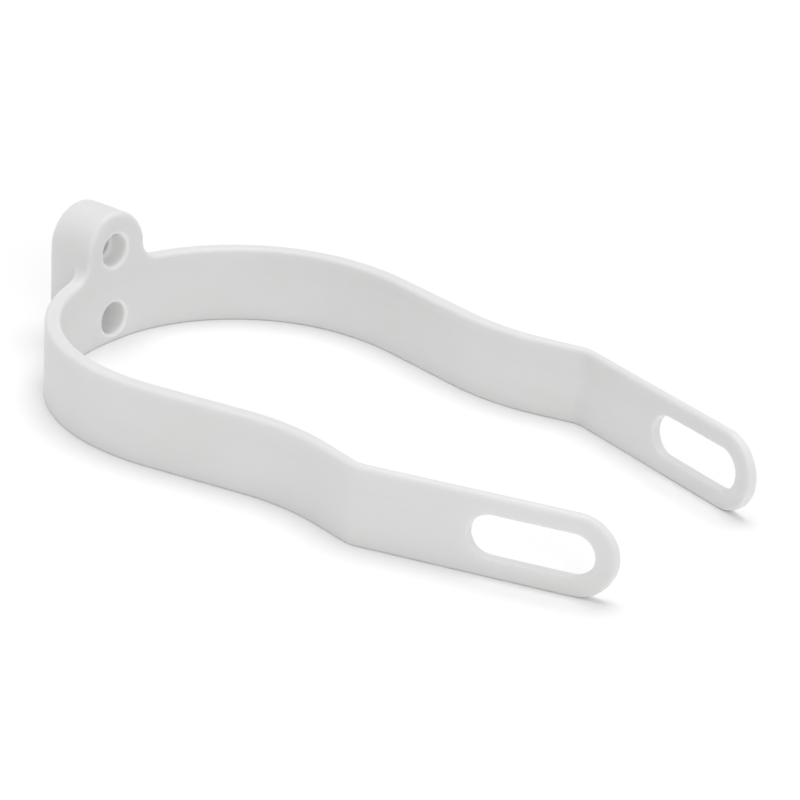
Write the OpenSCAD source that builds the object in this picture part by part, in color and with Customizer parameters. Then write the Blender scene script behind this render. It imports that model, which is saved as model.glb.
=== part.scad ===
/* [Band] */
// Height of the band, from its flat underside to its top edge
band_h = 20; // [16:0.5:20]
// Wall thickness of the band
band_t = 4; // [3:0.1:4.5]

/* [Bend] */
// Length of the flat stretch at the middle of the bend
flat_len = 5; // [4:0.5:8]
// Radius of the main bend, to the middle of the wall
bend_r = 45.5; // [42:0.5:52]
// Angle that each half of the main bend turns through
bend_turn = 82.5; // [78:0.5:84]

/* [Arms] */
// Radius of the gentle shoulder that follows the bend
shoulder_r = 56; // [40:1:80]
// Angle of the shoulder, which turns the arm inwards
shoulder_turn = 18.5; // [16:0.5:22]
// Length of the straight waist
waist_len = 25; // [15:1:40]
// Radius of the curve that turns the arm outwards again
flare_r = 57; // [40:1:80]
// Angle of the outward curve
flare_turn = 24.5; // [20:0.5:27]
// Length of the straight stretch before the kink
lead_len = 9; // [4:1:15]
// Radius of the kink where the ear starts
kink_r = 8; // [6:0.5:12]
// Angle of the kink
kink_turn = 30; // [26:0.5:34]

/* [Ears] */
// Length of an ear from the kink to its round tip
ear_len = 60.5; // [50:0.5:70]
// Thickness of the ear's wall; the arm thins down to it from the waist on
ear_t = 2.7; // [2:0.1:4]
// Overall length of the slot
slot_len = 29.5; // [20:0.5:34]
// Width of the slot
slot_w = 10.5; // [6:0.5:11]
// Wall left between the slot and the tip of the ear
slot_wall = 5.3; // [4:0.1:8]

/* [Lug] */
// Width of the lug, which is also the diameter of its round top
lug_w = 20.4; // [18:0.2:22]
// Depth of the lug from the inner face of the band to its back
lug_depth = 13.4; // [11:0.2:16]
// Radius of the curve where the band's top edge climbs the side of the lug
climb_r = 5; // [4:0.5:5]
// Radius of the upright fillet between the lug and the back of the band
fillet_r = 3; // [2:0.5:4]

/* [Bores] */
// Height of the lower bore above the underside
bore_low = 6.3; // [6:0.1:7]
// Distance between the two bores
bore_gap = 18.7; // [17:0.1:20]
// Diameter of the counterbore that takes the screw head
head_d = 8.6; // [7.5:0.1:9]
// Depth of the upper counterbore
head_depth_upper = 5; // [4:0.5:8]
// Depth of the lower counterbore
head_depth_lower = 8.5; // [4:0.5:9]
// Diameter of the screw hole behind the counterbore
screw_d = 5.4; // [3:0.1:5.5]
// Width of the chamfer round each bore's mouth
mouth_chamfer = 1; // [0.4:0.1:1]

/* [Hidden] */
$fn = 120;
over = 1;                                // how far a cutter passes the face that it cuts
arc_step = 2;                            // largest angle between two points of a curve
bore_high = bore_low + bore_gap;
face_x = band_t / 2;                     // inner face of the band and the lug, at the middle
back_x = face_x - lug_depth;             // back face of the lug
lug_side = lug_w / 2;
lug_top = bore_high + lug_side;

// A pose on the centreline of the wall is [x, y, heading in degrees].
function after_line(p, len) = [p[0] + len * cos(p[2]), p[1] + len * sin(p[2]), p[2]];

// The pose after an arc, where side is 1 for a left turn and -1 for a right turn
function after_arc(p, r, turn, side) =
    let (a = p[2] + side * turn)
    [p[0] + side * r * (sin(a) - sin(p[2])), p[1] - side * r * (cos(a) - cos(p[2])), a];

// The poses along an arc, without its first one
function arc_poses(p, r, turn, side) =
    let (steps = ceil(turn / arc_step))
    [for (i = [1:steps]) after_arc(p, r, turn * i / steps, side)];

at_bend = [0, flat_len / 2, 90];
at_shoulder = after_arc(at_bend, bend_r, bend_turn, -1);
at_waist = after_arc(at_shoulder, shoulder_r, shoulder_turn, -1);
at_flare = after_line(at_waist, waist_len);
at_lead = after_arc(at_flare, flare_r, flare_turn, 1);
at_kink = after_line(at_lead, lead_len);
at_ear = after_arc(at_kink, kink_r, kink_turn, -1);
at_tip = after_line(at_ear, ear_len);

arm_path = concat(
    [at_bend],
    arc_poses(at_bend, bend_r, bend_turn, -1),
    arc_poses(at_shoulder, shoulder_r, shoulder_turn, -1),
    [at_flare],
    arc_poses(at_flare, flare_r, flare_turn, 1),
    [at_kink],
    arc_poses(at_kink, kink_r, kink_turn, -1),
    [at_tip]);

// Half the wall's thickness at a pose, thinning evenly from the waist's end to the ear
function half_wall(p) =
    let (share = (p[0] - at_flare[0]) / (at_ear[0] - at_flare[0]))
    (band_t + (ear_t - band_t) * min(max(share, 0), 1)) / 2;

// The points of one face along the left arm, where side is 1 outside and -1 inside
function face_points(side) =
    [for (p = arm_path)
        let (shift = side * half_wall(p))
        [p[0] - shift * sin(p[2]), p[1] + shift * cos(p[2])]];

// The same face along both arms, from the right tip round to the left tip
function whole_face(side) =
    let (left = face_points(side), last = len(left) - 1)
    concat([for (i = [last:-1:0]) [left[i][0], -left[i][1]]], left);

function backwards(points) = [for (i = [len(points) - 1:-1:0]) points[i]];

// The origin is under the middle of the overall length, from the lug's back to the ear tips.
tip_x = at_tip[0] + half_wall(at_tip) * abs(sin(at_tip[2]));
mid_x = (tip_x + back_x) / 2;

// The wall round both arms, seen from above
module wall_plan() {
    polygon(concat(whole_face(1), backwards(whole_face(-1))));
}

// The lug and the upright fillets beside it, seen from above
module lug_plan() {
    fillet_y = lug_side + fillet_r;
    rise = fillet_y - at_bend[1];
    reach = bend_r + face_x + fillet_r;
    fillet_x = bend_r - sqrt(reach * reach - rise * rise);
    translate([back_x, -lug_side]) square([lug_depth, lug_w]);
    difference() {
        translate([fillet_x, -fillet_y]) square([-fillet_x, 2 * fillet_y]);
        for (side = [-1, 1])
            translate([fillet_x, side * fillet_y]) circle(fillet_r);
    }
}

// The band's top edge climbing into the sides of the lug, seen from the ears
module front_profile() {
    climb = lug_side + climb_r;
    translate([-2 * bend_r, 0]) square([4 * bend_r, band_h]);
    translate([-lug_side, 0]) square([lug_w, bore_high]);
    translate([0, bore_high]) circle(lug_side);
    difference() {
        translate([-climb, 0]) square([2 * climb, band_h + climb_r]);
        for (side = [-1, 1])
            translate([side * climb, band_h + climb_r]) circle(climb_r);
    }
}

module body() {
    intersection() {
        union() {
            linear_extrude(2 * lug_top) wall_plan();
            linear_extrude(2 * lug_top) lug_plan();
        }
        translate([-bend_r, 0, 0]) rotate([90, 0, 90])
            linear_extrude(8 * bend_r) front_profile();
    }
}

// Moves its children to the tip of the left ear, x along the ear and y across its wall
module at_ear_tip() {
    translate([at_tip[0], at_tip[1], 0]) rotate(at_tip[2]) children();
}

// The corners that are cut away to round an ear's tip
module tip_corners() {
    difference() {
        translate([-band_h / 2, -band_t, -over])
            cube([band_h / 2 + over, 2 * band_t, band_h + 2 * over]);
        translate([-band_h / 2, 0, band_h / 2]) rotate([90, 0, 0])
            cylinder(d = band_h, h = 3 * band_t, center = true);
    }
}

module ear_slot() {
    end_x = -slot_wall - slot_w / 2;
    start_x = end_x - slot_len + slot_w;
    for (x = [start_x, end_x])
        translate([x, 0, band_h / 2]) rotate([90, 0, 0])
            cylinder(d = slot_w, h = 2 * band_t, center = true);
    translate([start_x, -band_t, (band_h - slot_w) / 2])
        cube([end_x - start_x, 2 * band_t, slot_w]);
}

// A bore opens on the inner face: chamfered mouth, counterbore, then the screw hole.
module bore_cutter(z, head_depth) {
    mouth_d = head_d + 2 * mouth_chamfer;
    translate([face_x, 0, z]) rotate([0, -90, 0]) {
        translate([0, 0, -over]) cylinder(d = mouth_d, h = over);
        cylinder(d1 = mouth_d, d2 = head_d, h = mouth_chamfer);
        cylinder(d = head_d, h = head_depth);
        cylinder(d = screw_d, h = lug_depth + over);
    }
}

module bracket() {
    color("whitesmoke") translate([-mid_x, 0, 0]) difference() {
        body();
        for (side = [0, 1]) mirror([0, side, 0]) at_ear_tip() {
            tip_corners();
            ear_slot();
        }
        bore_cutter(bore_low, head_depth_lower);
        bore_cutter(bore_high, head_depth_upper);
    }
}

bracket();
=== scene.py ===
import math

import bmesh
import bpy
from mathutils import Matrix, Vector


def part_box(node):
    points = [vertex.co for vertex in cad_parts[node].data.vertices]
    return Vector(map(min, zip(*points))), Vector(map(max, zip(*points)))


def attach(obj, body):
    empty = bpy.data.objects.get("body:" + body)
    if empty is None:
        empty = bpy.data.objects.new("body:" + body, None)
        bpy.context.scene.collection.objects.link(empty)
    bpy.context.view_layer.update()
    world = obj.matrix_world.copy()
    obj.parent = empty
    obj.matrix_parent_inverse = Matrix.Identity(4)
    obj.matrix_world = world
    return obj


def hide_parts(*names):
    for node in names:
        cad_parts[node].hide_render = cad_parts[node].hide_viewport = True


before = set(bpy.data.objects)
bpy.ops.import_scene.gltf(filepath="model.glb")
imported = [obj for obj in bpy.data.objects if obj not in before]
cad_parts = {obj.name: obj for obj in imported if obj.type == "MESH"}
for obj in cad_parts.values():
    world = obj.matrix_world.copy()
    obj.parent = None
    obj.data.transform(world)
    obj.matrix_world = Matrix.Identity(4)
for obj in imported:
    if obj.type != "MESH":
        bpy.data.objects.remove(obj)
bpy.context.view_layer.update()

LOW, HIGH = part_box("bracket")
MM = 0.001

# Driving dimensions of the bracket, in millimetres and degrees, as in the CAD model
BAND_H = 20.0
BAND_T = 4.0
FLAT_LEN = 5.0
BEND_R, BEND_TURN = 45.5, 82.5
SHOULDER_R, SHOULDER_TURN = 56.0, 18.5
WAIST_LEN = 25.0
FLARE_R, FLARE_TURN = 57.0, 24.5
LEAD_LEN = 9.0
KINK_R, KINK_TURN = 8.0, 30.0
EAR_LEN, EAR_T = 60.5, 2.7
SLOT_LEN, SLOT_W, SLOT_WALL = 29.5, 10.5, 5.3
LUG_W, LUG_DEPTH = 20.4, 13.4
CLIMB_R = 5.0
FILLET_R = 3.0
BORE_LOW, BORE_GAP = 6.3, 18.7
HEAD_D, SCREW_D = 8.6, 5.4
HEAD_DEPTH_UPPER, HEAD_DEPTH_LOWER = 5.0, 8.5
MOUTH_R = 1.0

# Softness of the moulding's edges
EDGE_R = 1.1
BASE_EDGE_R = 0.5
LUG_EDGE_R = 1.2
SLOT_EDGE_R = 0.7
FLOOR_EDGE_R = 0.4               # between a counterbore's wall and its floor
HOLE_EDGE_R = 0.3                # at both ends of a screw hole
EDGE_SEGMENTS = 4

# How finely each stretch is divided
RING = 24                     # divisions of half a bore's circle
CORNER = RING // 4            # divisions along each short side of a bore's cell
DEGREES_PER_COLUMN = 2.0
COLUMN_STEP = 2.5             # distance between columns where the wall is straight
CLIMB_COLUMNS = 8
INSET = 1.8                   # width of the strip of faces along the outline of the lug
EAR_COLUMNS = 12
TIP_DIVISIONS = 28

BORE_HIGH = BORE_LOW + BORE_GAP
HALF_T = BAND_T / 2
SIDE = LUG_W / 2
BACK_X = HALF_T - LUG_DEPTH
SHIFT_X = LOW.x / MM - BACK_X    # from the bend's middle to the frame's origin
SPLIT_Z = (BORE_LOW + BORE_HIGH) / 2


def vec(x, y, z):
    """A point of the design in millimetres as a point of the frame in metres."""
    return Vector((x + SHIFT_X, y, z)) * MM


def after_line(pose, length):
    x, y, heading = pose
    return (x + length * math.cos(heading), y + length * math.sin(heading), heading)


def after_arc(pose, radius, turn, side):
    """The pose after an arc, where side is 1 for a left turn and -1 for a right turn."""
    x, y, heading = pose
    end = heading + side * math.radians(turn)
    return (x + side * radius * (math.sin(end) - math.sin(heading)),
            y - side * radius * (math.cos(end) - math.cos(heading)), end)


def offset(pose, shift):
    """The point beside a pose, shifted to its left, in plan."""
    x, y, heading = pose
    return (x - shift * math.sin(heading), y + shift * math.cos(heading))


def faces_at(pose, start_x, end_x):
    """Inner and outer plan points of the wall, which thins evenly between start_x and end_x."""
    share = min(max((pose[0] - start_x) / (end_x - start_x), 0), 1)
    half = (BAND_T + (EAR_T - BAND_T) * share) / 2
    return offset(pose, -half), offset(pose, half)


def on_bend(y, shift):
    """The plan point of a face of the bend at a given y, where shift is outwards."""
    radius = BEND_R + shift
    across = y - FLAT_LEN / 2
    if across <= 0:
        return (-shift, y)
    return (BEND_R - math.sqrt(radius * radius - across * across), y)


def mix(a, b, share):
    return tuple(p + (q - p) * share for p, q in zip(a, b))


class Shell:
    """Collects the mesh of one half, in the design's millimetres, and joins equal points."""

    def __init__(self):
        self.mesh = bmesh.new()
        self.weight = self.mesh.edges.layers.float.new("bevel_weight_edge")
        self.known = {}

    def point(self, x, y, z):
        key = (round(x, 4), round(y, 4), round(z, 4))
        if key not in self.known:
            self.known[key] = self.mesh.verts.new(vec(x, y, z))
        return self.known[key]

    def face(self, points):
        corners = []
        for p in points:
            v = self.point(*p)
            if v not in corners:
                corners.append(v)
        if len(corners) > 2:
            self.mesh.faces.new(corners)

    def grid(self, rows):
        """Faces between neighbouring rows of points, each row as long as the next."""
        for a, b in zip(rows, rows[1:]):
            for i in range(len(a) - 1):
                self.face((a[i], a[i + 1], b[i + 1], b[i]))

    def soften(self, points, radii):
        """Marks the edges along a row of points to be rounded, one radius or one for each edge."""
        for i, (a, b) in enumerate(zip(points, points[1:])):
            edge = self.mesh.edges.get((self.point(*a), self.point(*b)))
            radius = radii[i] if isinstance(radii, list) else radii
            if edge:
                edge[self.weight] = radius / LUG_EDGE_R


# ---- the wall's columns, from the side of the lug to the ear -------------------------------------

def back_of_wall(y):
    """Plan point of the wall's outer face beside the lug, with the fillet into the lug's side."""
    centre_y = SIDE + FILLET_R
    reach = BEND_R + HALF_T + FILLET_R
    centre_x = BEND_R - math.sqrt(reach ** 2 - (centre_y - FLAT_LEN / 2) ** 2)
    touch_y = mix((centre_y,), (FLAT_LEN / 2,), FILLET_R / reach)[0]
    if y > touch_y:
        return on_bend(y, HALF_T)
    return (centre_x + math.sqrt(max(FILLET_R ** 2 - (y - centre_y) ** 2, 0)), y)


def wall_columns():
    """Each column's inset plan point and height, front and back plan points and top height."""
    columns = []
    end_y, end_z = SIDE + CLIMB_R, BAND_H + CLIMB_R
    inset_r = CLIMB_R + INSET
    for i in range(CLIMB_COLUMNS + 1):
        a = math.pi / 2 * i / CLIMB_COLUMNS
        y = end_y - CLIMB_R * math.cos(a)
        inset = on_bend(end_y - inset_r * math.cos(a), -HALF_T)
        columns.append((inset, end_z - inset_r * math.sin(a), on_bend(y, -HALF_T),
                        back_of_wall(y), end_z - CLIMB_R * math.sin(a)))

    def angle_at(y, shift):
        return math.asin((y - FLAT_LEN / 2) / (BEND_R + shift))

    def add(front, back):
        columns.append((front, BAND_H - INSET, front, back, BAND_H))

    starts = [angle_at(end_y, -HALF_T), angle_at(end_y, HALF_T)]
    turn = math.radians(BEND_TURN)
    count = math.ceil((BEND_TURN - math.degrees(starts[0])) / DEGREES_PER_COLUMN)
    bend = (0.0, FLAT_LEN / 2, math.pi / 2)
    for i in range(1, count + 1):
        pair = []
        for start, shift in zip(starts, (-HALF_T, HALF_T)):
            pose = after_arc(bend, BEND_R, math.degrees(start + (turn - start) * i / count), -1)
            pair.append(offset(pose, shift))
        add(*pair)
    pose = after_arc(bend, BEND_R, BEND_TURN, -1)

    def arc(pose, radius, sweep, side):
        steps = math.ceil(sweep / DEGREES_PER_COLUMN)
        return [after_arc(pose, radius, sweep * i / steps, side) for i in range(1, steps + 1)]

    def line(pose, length):
        steps = max(2, round(length / COLUMN_STEP))
        return [after_line(pose, length * i / steps) for i in range(1, steps + 1)]

    even = arc(pose, SHOULDER_R, SHOULDER_TURN, -1)
    even += line(even[-1], WAIST_LEN)
    thinning = arc(even[-1], FLARE_R, FLARE_TURN, 1)
    thinning += line(thinning[-1], LEAD_LEN)
    thinning += arc(thinning[-1], KINK_R, KINK_TURN, -1)
    start_x, pose_ear = even[-1][0], thinning[-1]
    for ahead in even + thinning + line(pose_ear, ear_cell_start()):
        add(*faces_at(ahead, start_x, pose_ear[0]))
    front, _, _, back, top = columns[-1]
    columns[-1] = (front, top, front, back, top)    # the inset ends where the ear's cell starts
    return columns, pose_ear


def ear_cell_start():
    """Where the cell round the slot starts, measured along the ear."""
    return EAR_LEN - SLOT_WALL - SLOT_LEN - SLOT_WALL


# ---- the lug's cells, each round one bore --------------------------------------------------------

def spread(start, end, count):
    """Evenly spaced points from start to end, both included."""
    return [mix(start, end, i / count) for i in range(count + 1)]


def side_heights():
    """Heights of the rows of faces on the lug's side, up to the middle of the round top."""
    low = [SPLIT_Z * i / (2 * CORNER) for i in range(2 * CORNER)]
    rise = BORE_HIGH - SPLIT_Z
    return low + [SPLIT_Z + rise * (i / CORNER) ** 1.3 for i in range(CORNER + 1)]


def crown(radius):
    """(y, z) round the lug's round top, from its highest point to its side."""
    turns = [math.pi / 2 * (1 - i / (2 * CORNER)) for i in range(2 * CORNER + 1)]
    return [(radius * math.cos(a), BORE_HIGH + radius * math.sin(a)) for a in turns]


def upper_border():
    """(y, z) round the upper bore's cell: the round top, down the side, and along the split."""
    side = SIDE - INSET
    border = crown(side)[:-1]
    border += [(side, z) for z in side_heights()[:2 * CORNER:-1]]
    border += spread((side, SPLIT_Z), (0.0, SPLIT_Z), CORNER)
    return border


def lower_border():
    """(y, z) round the lower bore's cell: along the split, down the side, and along the base."""
    side = SIDE - INSET
    border = spread((0.0, SPLIT_Z), (side, SPLIT_Z), CORNER)[:-1]
    border += spread((side, SPLIT_Z), (side, 0.0), 2 * CORNER)[:-1]
    border += spread((side, 0.0), (0.0, 0.0), CORNER)
    return border


def half_circle(z, radius):
    """(y, z) of half a circle round a bore's axis, from its top to its bottom."""
    turns = [math.pi * (0.5 - i / RING) for i in range(RING + 1)]
    return [(radius * math.cos(a), z + radius * math.sin(a)) for a in turns]


def lug_front(p):
    return (on_bend(p[0], -HALF_T)[0], p[0], p[1])


def lug_back(p):
    return (BACK_X, p[0], p[1])


def add_cell(shell, place, z, radius, border, shares):
    """A face of the lug between a bore's edge and the border of its cell."""
    hole = half_circle(z, radius)
    rings = [[place(mix(a, b, share)) for a, b in zip(hole, border)] for share in shares]
    shell.grid(rings)


def add_bore(shell, z, head_depth):
    """The inside of a bore: rounded mouth, counterbore, floor, screw hole and back edge."""
    head_r, screw_r = HEAD_D / 2, SCREW_D / 2
    floor_r, lip = FLOOR_EDGE_R, HOLE_EDGE_R
    quarter = [math.pi / 2 * i / EDGE_SEGMENTS for i in range(EDGE_SEGMENTS + 1)]
    rings = []
    for i, a in enumerate(quarter):
        radius = head_r + MOUTH_R * (1 - math.sin(a))
        follow = 1 - i / EDGE_SEGMENTS     # the mouth follows the face, the bore is straight
        ring = []
        for y, ring_z in half_circle(z, radius):
            face_x = HALF_T + (on_bend(y, -HALF_T)[0] - HALF_T) * follow
            ring.append((face_x - MOUTH_R * (1 - math.cos(a)), y, ring_z))
        rings.append(ring)
    profile = [(MOUTH_R + (head_depth - floor_r - MOUTH_R) * i / 4, head_r) for i in range(1, 5)]
    profile += [(head_depth - floor_r * (1 - math.sin(a)), head_r - floor_r * (1 - math.cos(a)))
                for a in quarter[1:]]
    profile += [(head_depth, screw_r + lip * width) for width in (1.6, 1.0)]
    profile += [(head_depth + lip * (1 - math.cos(a)), screw_r + lip * (1 - math.sin(a)))
                for a in quarter[1:]]
    start, end = head_depth + lip, LUG_DEPTH - lip
    profile += [(start + (end - start) * i / 3, screw_r) for i in range(1, 4)]
    profile += [(end + lip * math.sin(a), screw_r + lip * (1 - math.cos(a))) for a in quarter[1:]]
    for depth, radius in profile:
        rings.append([(HALF_T - depth, y, ring_z) for y, ring_z in half_circle(z, radius)])
    shell.grid(rings)
    return screw_r + lip


# ---- the ear's cell round its slot ---------------------------------------------------------------

def ear_outline(rows):
    """(u, z) round the ear's end: up its start, along the top, round the tip, and back."""
    u0, tip_u = ear_cell_start(), EAR_LEN - BAND_H / 2
    loop = [(u0, BAND_H * share) for share in rows[:-1]]
    loop += spread((u0, BAND_H), (tip_u, BAND_H), EAR_COLUMNS)[:-1]
    for i in range(TIP_DIVISIONS):
        a = math.pi * (0.5 - i / TIP_DIVISIONS)
        loop.append((tip_u + BAND_H / 2 * math.cos(a), BAND_H / 2 * (1 + math.sin(a))))
    loop += spread((tip_u, 0.0), (u0, 0.0), EAR_COLUMNS)
    return loop


def slot_outline(rows):
    """(u, z) round the slot, with a point for each point of the ear's outline."""
    r = SLOT_W / 2
    right = EAR_LEN - SLOT_WALL - r
    left = right - SLOT_LEN + SLOT_W
    middle = BAND_H / 2
    loop = []
    for share in rows[:-1]:
        a = -math.pi / 2 - math.pi * share
        loop.append((left + r * math.cos(a), middle + r * math.sin(a)))
    loop += spread((left, middle + r), (right, middle + r), EAR_COLUMNS)[:-1]
    for i in range(TIP_DIVISIONS):
        a = math.pi * (0.5 - i / TIP_DIVISIONS)
        loop.append((right + r * math.cos(a), middle + r * math.sin(a)))
    loop += spread((right, middle - r), (left, middle - r), EAR_COLUMNS)
    return loop


def add_ear(shell, pose, rows):
    x0, y0, heading = pose
    along = (math.cos(heading), math.sin(heading))

    def place(p, shift):
        return (x0 + p[0] * along[0] - shift * along[1],
                y0 + p[0] * along[1] + shift * along[0], p[1])

    outer, slot = ear_outline(rows), slot_outline(rows)
    shares = (0, 0.25, 0.75, 1)
    for shift in (-EAR_T / 2, EAR_T / 2):
        rings = [[place(mix(a, b, share), shift) for a, b in zip(slot, outer)]
                 for share in shares]
        shell.grid(rings)
    free = outer[len(rows) - 1:]
    sides = [[place(p, shift) for p in free] for shift in (-EAR_T / 2, EAR_T / 2)]
    walls = [[place(p, shift) for p in slot] for shift in (-EAR_T / 2, 0.0, EAR_T / 2)]
    shell.grid(sides)
    shell.grid(walls)
    turns = [min(max((i - EAR_COLUMNS) / TIP_DIVISIONS, 0), 1) for i in range(len(free) - 1)]
    for edge in sides:
        shell.soften(edge, [EDGE_R + (BASE_EDGE_R - EDGE_R) * turn for turn in turns])
    for edge in (walls[0], walls[-1]):
        shell.soften(edge, SLOT_EDGE_R)


# ---- one half of the bracket, mirrored and softened by modifiers ---------------------------------

def add_wall(shell, columns, rows):
    shell.grid([[(*inset, share * height) for share in rows] for inset, height, *_ in columns])
    shell.grid([[(*c[3], share * c[4]) for share in rows] for c in columns])
    inset = [(*c[0], c[1]) for c in columns]
    front = [(*c[2], c[4]) for c in columns]
    back = [(*c[3], c[4]) for c in columns]
    base_front = [(*c[0], 0.0) for c in columns]
    base_back = [(*c[3], 0.0) for c in columns]
    shell.grid([inset, front, back])
    shell.grid([base_front, base_back])
    fade = CLIMB_COLUMNS + 2
    shares = [min(1, (i + 0.5) / fade) for i in range(len(columns) - 1)]
    shell.soften(front, [LUG_EDGE_R + (EDGE_R - LUG_EDGE_R) * share for share in shares])
    shell.soften(back, [EDGE_R * share for share in shares])
    for edge in (base_front, base_back):
        shell.soften(edge, BASE_EDGE_R)


def add_lug(shell, columns, rows):
    upper, lower = upper_border(), lower_border()
    mouth_r = HEAD_D / 2 + MOUTH_R
    for z, depth, border in ((BORE_HIGH, HEAD_DEPTH_UPPER, upper),
                             (BORE_LOW, HEAD_DEPTH_LOWER, lower)):
        back_r = add_bore(shell, z, depth)
        first_ring = 0.15 if border is lower else 0.3     # the lower cell has less room
        add_cell(shell, lug_front, z, mouth_r, border, (0, first_ring, 1))
        add_cell(shell, lug_back, z, back_r, border, (0, 0.35, 0.7, 1))
    front_x = columns[0][2][0]
    fillet_x = columns[0][3][0]
    wall_share = (front_x - fillet_x) / (front_x - BACK_X)
    depths = [0.0] + [wall_share + (1 - wall_share) * i / 3 for i in range(4)]

    def run(p, steps=depths):
        """Points from the front of the lug to its back, through one point of its outline."""
        return [mix(lug_front(p), lug_back(p), share) for share in steps]

    top, top_inset = crown(SIDE), crown(SIDE - INSET)
    for place in (lug_front, lug_back):
        shell.grid([[place(p) for p in line] for line in (top, top_inset)])
    heights = [share * BORE_HIGH for share in rows]
    side, side_inset = ([(y, z) for z in heights] for y in (SIDE, SIDE - INSET))
    shell.grid([[lug_back(p) for p in line] for line in (side, side_inset)])
    base = lower[3 * CORNER:]
    shell.grid([run(p) for p in top])
    shell.grid([run(p, depths[1:]) for p in side])
    shell.grid([run(p) for p in base])
    outer, inner = (SIDE, 0.0), (SIDE - INSET, 0.0)
    shell.grid([run(outer, depths[1:]), run(inner, depths[1:])])
    shell.face((lug_front(inner), run(outer)[1], run(inner)[1]))

    shell.soften([lug_front(p) for p in top], LUG_EDGE_R)
    shell.soften([lug_front(p) for p in base], BASE_EDGE_R)
    for line, radius in ((top, LUG_EDGE_R), (side, LUG_EDGE_R), ([outer] + base, BASE_EDGE_R)):
        shell.soften([lug_back(p) for p in line], radius)
    shell.soften(run(outer, depths[1:]), BASE_EDGE_R)


def bracket_mesh():
    shell = Shell()
    columns, pose_ear = wall_columns()
    rows = [height / BORE_HIGH for height in side_heights()]
    add_wall(shell, columns, rows)
    add_lug(shell, columns, rows)
    add_ear(shell, pose_ear, rows)
    bmesh.ops.recalc_face_normals(shell.mesh, faces=shell.mesh.faces)
    for face in shell.mesh.faces:
        face.smooth = True
    data = bpy.data.meshes.new("moulded_bracket")
    shell.mesh.to_mesh(data)
    shell.mesh.free()
    return data


def make_bracket():
    piece = bpy.data.objects.new("moulded_bracket", bracket_mesh())
    bpy.context.scene.collection.objects.link(piece)
    whole = piece.modifiers.new("other_half", "MIRROR")
    whole.use_axis = (False, True, False)
    whole.use_clip = True
    whole.merge_threshold = 0.01 * MM
    soft = piece.modifiers.new("soft_edges", "BEVEL")
    soft.limit_method = "WEIGHT"
    soft.width = LUG_EDGE_R * MM
    soft.segments = EDGE_SEGMENTS
    soft.use_clamp_overlap = False
    even = piece.modifiers.new("even_shading", "WEIGHTED_NORMAL")
    even.keep_sharp = True
    return piece


# ---- white moulded plastic -----------------------------------------------------------------------

BODY_TONES = (0.745, 0.745, 0.741), (0.765, 0.766, 0.765)
STREAK_TONE = (0.735, 0.733, 0.724)
SCUFF_TONE = (0.70, 0.70, 0.69)
# painted shade: the grey laid into concave creases and hollows
CREVICE_SHADE_TONE = (0.67, 0.67, 0.66)
# painted highlight: the light tone laid along convex edges
EDGE_HIGHLIGHT_TONE = (0.82, 0.82, 0.82)
# painted light: the light tone laid on the counterbores' walls and mouths
COUNTERBORE_LIGHT_TONE = (0.88, 0.88, 0.875)

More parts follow.
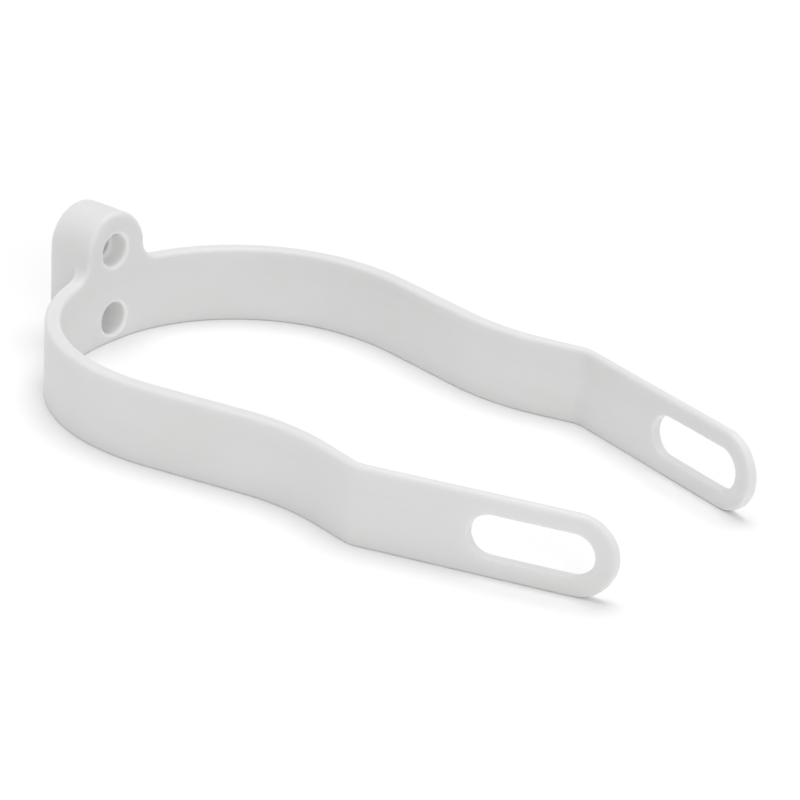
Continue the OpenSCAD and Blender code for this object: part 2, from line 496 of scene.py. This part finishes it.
class Nodes:
    """Short helpers for building one node material."""

    def __init__(self, name):
        self.material = bpy.data.materials.new(name)
        self.material.use_nodes = True
        self.tree = self.material.node_tree
        self.shader = self.tree.nodes["Principled BSDF"]
        self.place = self.tree.nodes.new("ShaderNodeTexCoord").outputs["Object"]

    def link(self, source, target):
        self.tree.links.new(source, target)

    def stretch(self, scale):
        """The object's own coordinates, in metres, stretched along each axis."""
        node = self.tree.nodes.new("ShaderNodeMapping")
        node.inputs["Scale"].default_value = scale
        self.link(self.place, node.inputs["Vector"])
        return node.outputs["Vector"]

    def noise(self, scale, detail=3.0, roughness=0.5, place=None, warp=0.0):
        node = self.tree.nodes.new("ShaderNodeTexNoise")
        node.inputs["Scale"].default_value = scale
        node.inputs["Detail"].default_value = detail
        node.inputs["Roughness"].default_value = roughness
        node.inputs["Distortion"].default_value = warp
        self.link(place or self.place, node.inputs["Vector"])
        return node.outputs["Fac"]

    def ramp(self, source, start, end, low=0.0, high=1.0):
        """Source mapped from start..end to low..high, held at both ends."""
        node = self.tree.nodes.new("ShaderNodeMapRange")
        for name, value in zip(("From Min", "From Max", "To Min", "To Max"),
                               (start, end, low, high)):
            node.inputs[name].default_value = value
        self.link(source, node.inputs["Value"])
        return node.outputs["Result"]

    def blend(self, share, first, second):
        """A colour between two, each a colour or another node's output."""
        node = self.tree.nodes.new("ShaderNodeMix")
        node.data_type = "RGBA"
        self.link(share, node.inputs["Factor"])
        for name, value in (("A", first), ("B", second)):
            socket = [i for i in node.inputs if i.name == name and i.type == "RGBA"][0]
            if isinstance(value, tuple):
                socket.default_value = (*value, 1.0)
            else:
                self.link(value, socket)
        return [o for o in node.outputs if o.type == "RGBA"][0]

    def sum(self, first, second, weight):
        """first + second * weight."""
        node = self.tree.nodes.new("ShaderNodeMath")
        node.operation = "MULTIPLY_ADD"
        node.inputs[1].default_value = weight
        self.link(second, node.inputs[0])
        self.link(first, node.inputs[2])
        return node.outputs[0]

    def counterbore_light_mask(self, z):
        """Mask of the light painted into the counterbore at the height z: 1 on its wall and mouth,
        0 elsewhere.
        """
        node = self.tree.nodes.new("ShaderNodeVectorMath")
        node.operation = "DISTANCE"
        self.link(self.stretch((0.0, 1.0, 1.0)), node.inputs[0])
        node.inputs[1].default_value = (0.0, 0.0, z * MM)
        away = node.outputs["Value"]
        full_r, mouth_r, screw_r = (r * MM for r in (HEAD_D / 2 + 0.4, HEAD_D / 2 + MOUTH_R,
                                                     SCREW_D / 2))
        share = self.ramp(away, mouth_r, full_r)
        parts = self.tree.nodes.new("ShaderNodeSeparateXYZ")
        self.link(self.place, parts.inputs["Vector"])
        deep = self.ramp(parts.outputs["X"], LOW.x + 0.5 * MM, LOW.x + 1.5 * MM)
        for part in (self.ramp(away, screw_r, screw_r + 0.5 * MM), deep):
            both = self.tree.nodes.new("ShaderNodeMath")
            both.operation = "MULTIPLY"
            self.link(share, both.inputs[0])
            self.link(part, both.inputs[1])
            share = both.outputs["Value"]
        return share

    def bump(self, height, depth, strength, under=None):
        node = self.tree.nodes.new("ShaderNodeBump")
        node.inputs["Distance"].default_value = depth
        node.inputs["Strength"].default_value = strength
        self.link(height, node.inputs["Height"])
        if under:
            self.link(under, node.inputs["Normal"])
        return node.outputs["Normal"]


def white_plastic():
    n = Nodes("white_plastic")
    cloud = n.noise(38.0, detail=4.0)
    streak = n.noise(60.0, detail=3.0, place=n.stretch((0.35, 0.35, 4.0)), warp=0.4)
    grain = n.noise(1900.0, detail=2.0, roughness=0.6)
    fine = n.noise(420.0, detail=4.0, roughness=0.6)
    scuff = n.noise(150.0, detail=5.0, roughness=0.65, place=n.stretch((1.0, 1.0, 2.5)), warp=1.2)
    edge = n.tree.nodes.new("ShaderNodeNewGeometry").outputs["Pointiness"]

    body = n.blend(n.ramp(cloud, 0.35, 0.65), *BODY_TONES)
    body = n.blend(n.ramp(streak, 0.50, 0.70, 0.0, 0.45), body, STREAK_TONE)
    body = n.blend(n.ramp(scuff, 0.66, 0.74, 0.0, 0.35), body, SCUFF_TONE)
    # Painted shade: concave creases and hollows, where pointiness is low, are darkened
    body = n.blend(n.ramp(edge, 0.47, 0.40, 0.0, 0.4), body, CREVICE_SHADE_TONE)
    # Painted highlight: convex edges, where pointiness is high, are lightened
    body = n.blend(n.ramp(edge, 0.53, 0.60, 0.0, 0.25), body, EDGE_HIGHLIGHT_TONE)
    # A correction with painted light: the counterbores render too dark in the tone of the rest, so
    # their walls and mouths are painted a lighter tone
    for z in (BORE_LOW, BORE_HIGH):
        body = n.blend(n.counterbore_light_mask(z), body, COUNTERBORE_LIGHT_TONE)
    n.link(body, n.shader.inputs["Base Color"])

    rough = n.ramp(fine, 0.3, 0.7, 0.40, 0.50)
    rough = n.sum(rough, n.ramp(scuff, 0.60, 0.74), 0.10)
    rough = n.sum(rough, n.ramp(edge, 0.53, 0.60), -0.06)
    n.link(rough, n.shader.inputs["Roughness"])

    waves = n.bump(streak, 0.00006, 0.25)
    skin = n.bump(fine, 0.00003, 0.35, under=waves)
    n.link(n.bump(grain, 0.000012, 0.5, under=skin), n.shader.inputs["Normal"])
    n.shader.inputs["Subsurface Weight"].default_value = 0.6
    n.shader.inputs["Subsurface Radius"].default_value = (1.0, 1.0, 1.0)
    n.shader.inputs["Subsurface Scale"].default_value = 2.0 * MM
    n.shader.inputs["IOR"].default_value = 1.49
    n.shader.inputs["Specular IOR Level"].default_value = 0.42
    return n.material


# ---- floor, light and camera ---------------------------------------------------------------------

def make_floor():
    side = 4.0
    data = bpy.data.meshes.new("floor")
    corners = [(-side, -side, 0), (side, -side, 0), (side, side, 0), (-side, side, 0)]
    data.from_pydata([Vector(c) + Vector((0, 0, LOW.z)) for c in corners], [], [(0, 1, 2, 3)])
    floor = bpy.data.objects.new("floor", data)
    bpy.context.scene.collection.objects.link(floor)
    paper = bpy.data.materials.new("floor_paper")
    paper.use_nodes = True
    shader = paper.node_tree.nodes["Principled BSDF"]
    shader.inputs["Base Color"].default_value = (0.96, 0.96, 0.96, 1.0)
    shader.inputs["Roughness"].default_value = 0.9
    shader.inputs["Specular IOR Level"].default_value = 0.1
    data.materials.append(paper)


def direction(azimuth, elevation):
    """The way from the object's middle to a viewer at these angles, in degrees."""
    a, e = math.radians(azimuth), math.radians(elevation)
    return Vector((math.sin(a) * math.cos(e), -math.cos(a) * math.cos(e), math.sin(e)))


def make_light(name, azimuth, elevation, distance, size, power):
    middle = (LOW + HIGH) / 2
    data = bpy.data.lights.new(name, "AREA")
    data.shape = "DISK"
    data.size = size
    data.energy = power
    lamp = bpy.data.objects.new(name, data)
    back = direction(azimuth, elevation)
    lamp.location = middle + back * distance
    lamp.rotation_mode = "QUATERNION"
    lamp.rotation_quaternion = back.to_track_quat("Z", "Y")
    bpy.context.scene.collection.objects.link(lamp)


def make_sky(strength):
    world = bpy.data.worlds.new("studio")
    world.use_nodes = True
    shade = world.node_tree.nodes["Background"]
    shade.inputs["Color"].default_value = (1.0, 1.0, 1.0, 1.0)
    shade.inputs["Strength"].default_value = strength
    bpy.context.scene.world = world


def make_camera(azimuth, elevation, roll, distance, lens, aim):
    back = direction(azimuth, elevation)
    level = Vector((math.cos(math.radians(azimuth)), math.sin(math.radians(azimuth)), 0.0))
    upright = back.cross(level)
    turn = math.radians(roll)
    right = level * math.cos(turn) + upright * math.sin(turn)
    up = upright * math.cos(turn) - level * math.sin(turn)
    target = Vector([LOW[i] + (HIGH[i] - LOW[i]) * aim[i] for i in range(3)])
    data = bpy.data.cameras.new("camera")
    data.lens = lens
    data.sensor_width = 36.0
    data.clip_start, data.clip_end = 0.01, 20.0
    camera = bpy.data.objects.new("camera", data)
    turned = Matrix((right, up, back)).transposed().to_4x4()
    camera.matrix_world = Matrix.Translation(target + back * distance) @ turned
    bpy.context.scene.collection.objects.link(camera)
    bpy.context.scene.camera = camera


bracket = make_bracket()
bracket.data.materials.append(white_plastic())
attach(bracket, "root")
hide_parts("bracket")

make_floor()
make_sky(0.58)
make_light("overhead", 200, 80, 6.0, 4.5, 165)
make_light("front", 54, 28, 6.0, 3.0, 58)
make_light("left", -70, 35, 6.0, 3.0, 8)
make_camera(36.44, 24.39, 3.69, 0.740, 137.7, (0.5362, 0.562, 0.285))
bpy.context.scene.view_settings.view_transform = "Standard"
